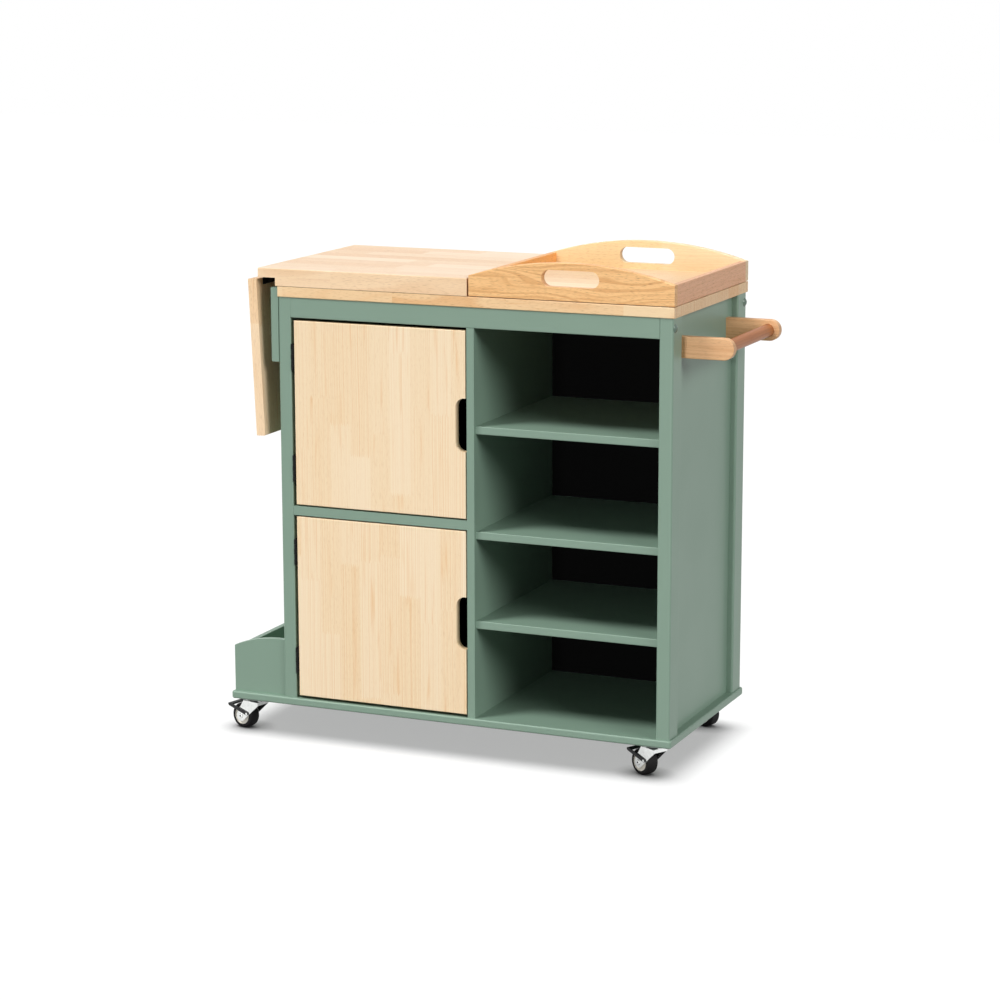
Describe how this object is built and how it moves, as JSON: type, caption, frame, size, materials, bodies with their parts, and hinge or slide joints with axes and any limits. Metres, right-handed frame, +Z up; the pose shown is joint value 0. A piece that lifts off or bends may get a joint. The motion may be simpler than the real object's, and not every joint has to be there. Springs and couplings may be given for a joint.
{
  "type": "kitchen storage cart",
  "caption": "Kitchen storage cart on casters: closed cupboards beside open shelves, wood worktop with lift-off tray, folding side leaf, side bin and towel handle.",
  "frame": {"origin": "on the floor, under the middle of the cart's bounding box", "axes": "+Z up, +X to the right along the front with the towel handle at the +X end and the drop leaf at the -X end, -Y to the front with the doors and open shelves"},
  "size_m": [1.0242, 0.419, 0.953],
  "materials": {
    "painted_board": "satin sage green paint",
    "worktop_wood": "clear satin lacquer on edge-glued light hardwood",
    "tray_wood": "clear satin lacquer",
    "door_wood": "clear satin lacquer on finger-jointed light hardwood",
    "handle_wood": "clear satin lacquer",
    "black_steel": "black coated pressed steel",
    "zinc_steel": "bright zinc plated",
    "wheel_plastic": "black moulded plastic",
    "brake_plastic": "black moulded plastic",
    "catch_plastic": "white moulded plastic",
    "cap_plastic": "moulded in the paint's green",
    "felt": "pressed felt"
  },
  "bodies": {
    "cart": {"back_panel": "painted_board", "base_board": "painted_board", "bin_front_board": "painted_board", "bin_rear_board": "painted_board", "bin_side_board": "painted_board", "bolt_caps": "cap_plastic", "caster_plates": "zinc_steel", "caster_screws": "zinc_steel", "centre_divider": "painted_board", "cupboard_shelf": "painted_board", "door_catches": "catch_plastic", "door_hinge_post_plates": "black_steel", "front_top_rail": "painted_board", "handle_arm_front": "handle_wood", "handle_arm_rear": "handle_wood", "handle_rod": "handle_wood", "leaf_hinge_lip_plates": "black_steel", "post_front_left": "painted_board", "post_front_right": "painted_board", "post_rear_left": "painted_board", "post_rear_right": "painted_board", "rail_bolts": "zinc_steel", "rear_top_rail": "painted_board", "shelf_lower": "painted_board", "shelf_middle": "painted_board", "shelf_upper": "painted_board", "side_panel_left": "painted_board", "side_panel_right": "painted_board", "stay_batten": "painted_board", "stay_brackets": "black_steel", "worktop_block": "worktop_wood", "worktop_slab": "worktop_wood"},
    "leaf": {"drop_leaf": "worktop_wood", "leaf_hinge_leaf_plates": "black_steel", "stay_channels": "black_steel"},
    "stay_front": {"stay_strut_front": "zinc_steel"},
    "stay_rear": {"stay_strut_rear": "zinc_steel"},
    "lower_door": {"lower_door": "door_wood", "lower_door_hinge_plates": "black_steel", "lower_door_striker": "black_steel"},
    "upper_door": {"upper_door": "door_wood", "upper_door_hinge_plates": "black_steel", "upper_door_striker": "black_steel"},
    "tray": {"tray_front_board": "tray_wood", "tray_rear_board": "tray_wood", "tray_side_left": "tray_wood", "tray_side_right": "tray_wood", "tray_floor": "tray_wood", "tray_feet": "felt"},
    "caster_front_left": {"caster_fork_front_left": "zinc_steel"},
    "wheel_front_left": {"caster_wheel_front_left": "wheel_plastic"},
    "caster_front_right": {"caster_fork_front_right": "zinc_steel"},
    "wheel_front_right": {"caster_wheel_front_right": "wheel_plastic"},
    "caster_rear_left": {"caster_fork_rear_left": "zinc_steel"},
    "wheel_rear_left": {"caster_wheel_rear_left": "wheel_plastic"},
    "caster_rear_right": {"caster_fork_rear_right": "zinc_steel"},
    "wheel_rear_right": {"caster_wheel_rear_right": "wheel_plastic"},
    "brake_front_left": {"brake_pedal_front_left": "brake_plastic"},
    "brake_front_right": {"brake_pedal_front_right": "brake_plastic"}
  },
  "joints": [
    {"name": "lower_door_hinge", "type": "hinge", "parent": "cart", "child": "lower_door", "pos_m": [-0.34662, -0.205, 0.2625], "axis": [0, 0, -1], "range_deg": [0, 110]},
    {"name": "upper_door_hinge", "type": "hinge", "parent": "cart", "child": "upper_door", "pos_m": [-0.34662, -0.205, 0.641], "axis": [0, 0, -1], "range_deg": [0, 110]},
    {"name": "leaf_hinge", "type": "hinge", "parent": "cart", "child": "leaf", "pos_m": [-0.41742, 0, 0.8955], "axis": [0, 1, 0], "range_deg": [0, 92.5]},
    {"name": "stay_front_pivot", "type": "hinge", "parent": "cart", "child": "stay_front", "pos_m": [-0.39992, -0.089, 0.805], "axis": [0, 1, 0], "range_deg": [0, 119.2]},
    {"name": "stay_rear_pivot", "type": "hinge", "parent": "cart", "child": "stay_rear", "pos_m": [-0.39992, 0.089, 0.805], "axis": [0, 1, 0], "range_deg": [0, 119.2]},
    {"name": "tray_lift", "type": "slide", "parent": "cart", "child": "tray", "axis": [0, 0, 1], "range_m": [0, 0.15]},
    {"name": "swivel_front_left", "type": "hinge", "parent": "cart", "child": "caster_front_left", "pos_m": [-0.45042, -0.1825, 0.0645], "axis": [0, 0, 1], "continuous": true},
    {"name": "roll_front_left", "type": "hinge", "parent": "caster_front_left", "child": "wheel_front_left", "pos_m": [-0.47759, -0.17573, 0.025], "axis": [-0.2419, -0.9703, 0], "continuous": true},
    {"name": "brake_front_left", "type": "hinge", "parent": "caster_front_left", "child": "brake_front_left", "pos_m": [-0.46109, -0.17984, 0.032], "axis": [-0.2419, -0.9703, 0], "range_deg": [0, 12]},
    {"name": "swivel_front_right", "type": "hinge", "parent": "cart", "child": "caster_front_right", "pos_m": [0.38308, -0.1825, 0.0645], "axis": [0, 0, 1], "continuous": true},
    {"name": "roll_front_right", "type": "hinge", "parent": "caster_front_right", "child": "wheel_front_right", "pos_m": [0.35859, -0.16892, 0.025], "axis": [-0.4848, -0.8746, 0], "continuous": true},
    {"name": "brake_front_right", "type": "hinge", "parent": "caster_front_right", "child": "brake_front_right", "pos_m": [0.37346, -0.17717, 0.032], "axis": [-0.4848, -0.8746, 0], "range_deg": [0, 12]},
    {"name": "swivel_rear_left", "type": "hinge", "parent": "cart", "child": "caster_rear_left", "pos_m": [-0.45042, 0.1735, 0.0645], "axis": [0, 0, 1], "continuous": true},
    {"name": "roll_rear_left", "type": "hinge", "parent": "caster_rear_left", "child": "wheel_rear_left", "pos_m": [-0.47746, 0.18075, 0.025], "axis": [-0.2588, -0.9659, 0], "continuous": true},
    {"name": "swivel_rear_right", "type": "hinge", "parent": "cart", "child": "caster_rear_right", "pos_m": [0.38308, 0.1735, 0.0645], "axis": [0, 0, 1], "continuous": true},
    {"name": "roll_rear_right", "type": "hinge", "parent": "caster_rear_right", "child": "wheel_rear_right", "pos_m": [0.35677, 0.18308, 0.025], "axis": [-0.342, -0.9397, 0], "continuous": true}
  ],
  "couplings": [
    {"joint": "stay_front_pivot", "follows": "leaf_hinge", "ratio": 1.2861},
    {"joint": "stay_rear_pivot", "follows": "leaf_hinge", "ratio": 1.2861}
  ]
}
